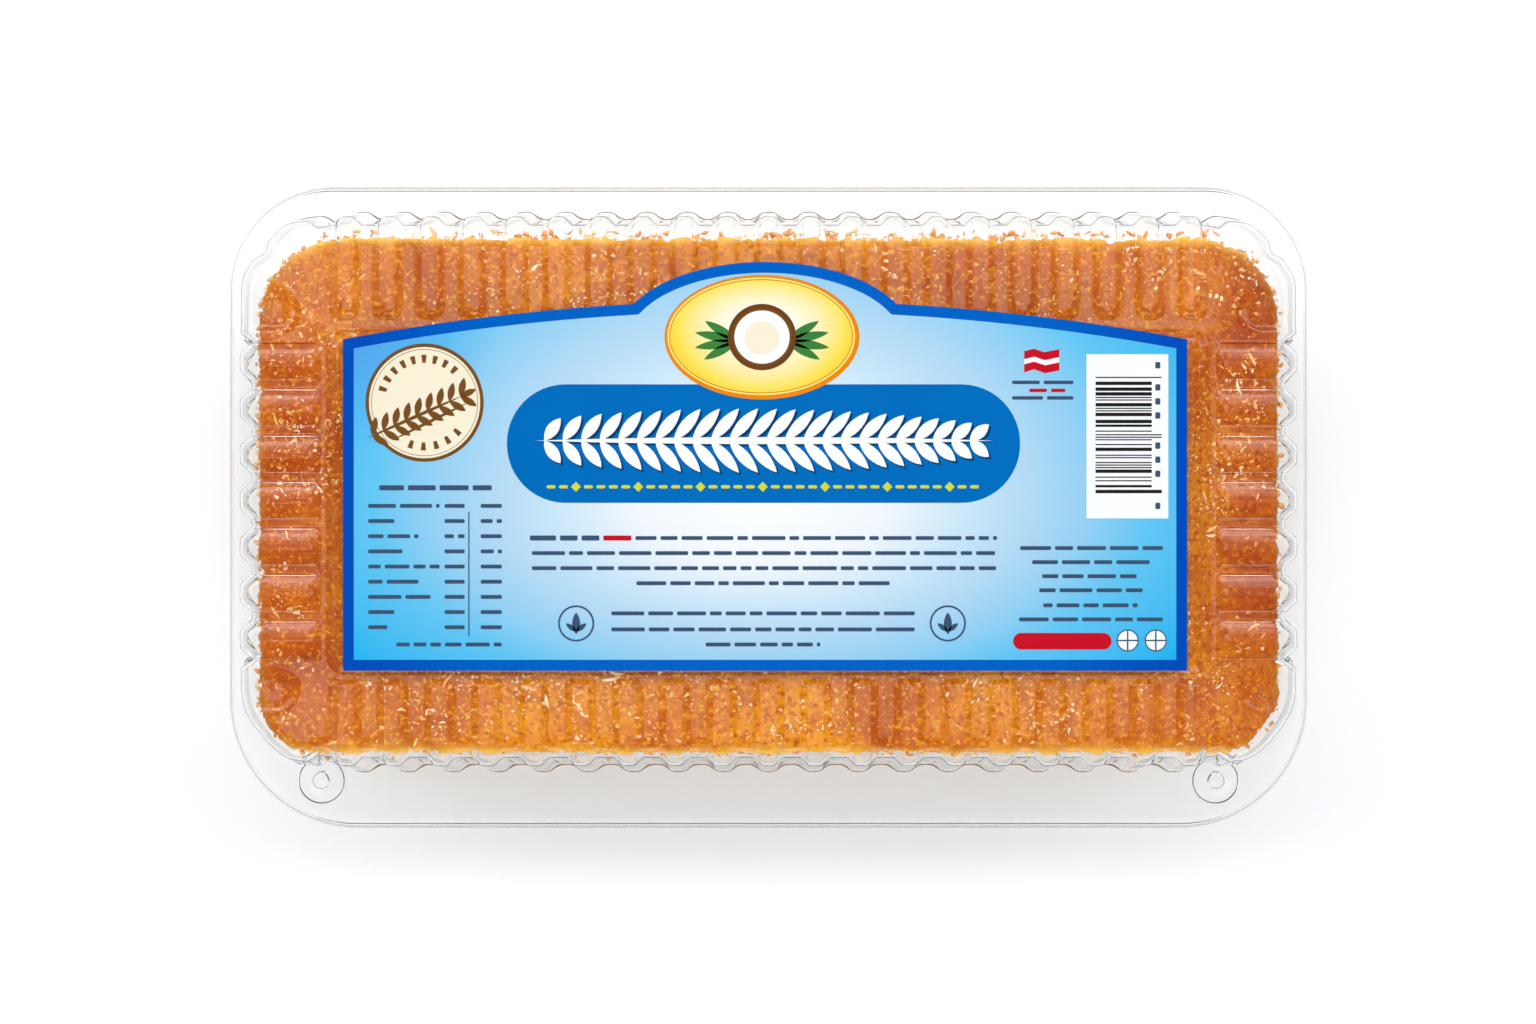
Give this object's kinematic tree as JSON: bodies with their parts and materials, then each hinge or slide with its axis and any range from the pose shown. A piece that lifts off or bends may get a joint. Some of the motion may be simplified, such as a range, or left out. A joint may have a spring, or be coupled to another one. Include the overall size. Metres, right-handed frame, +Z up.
{
  "type": "packed coconut slab cake",
  "caption": "Long toasted coconut slab cake in a clear hinged plastic pack with a fluted domed lid and a blue printed label on top.",
  "frame": {"origin": "on the table, under the middle of the flange's outline", "axes": "+X along the pack, +Y towards the hinged back edge, +Z up"},
  "size_m": [0.2582, 0.1534, 0.0503],
  "materials": {
    "clear_plastic": "clear glossy thermoformed sheet",
    "cake_crust": "moist toasted crumb with coconut",
    "label_print": "satin printed paper"
  },
  "bodies": {
    "tray": {"tray": "clear_plastic", "cake": "cake_crust"},
    "lid": {"lid": "clear_plastic", "label": "label_print"}
  },
  "joints": [
    {"name": "lid_hinge", "type": "hinge", "parent": "tray", "child": "lid", "pos_m": [0, 0.0761, 0.0229], "axis": [-1, 0, 0], "range_deg": [0, 160]}
  ]
}
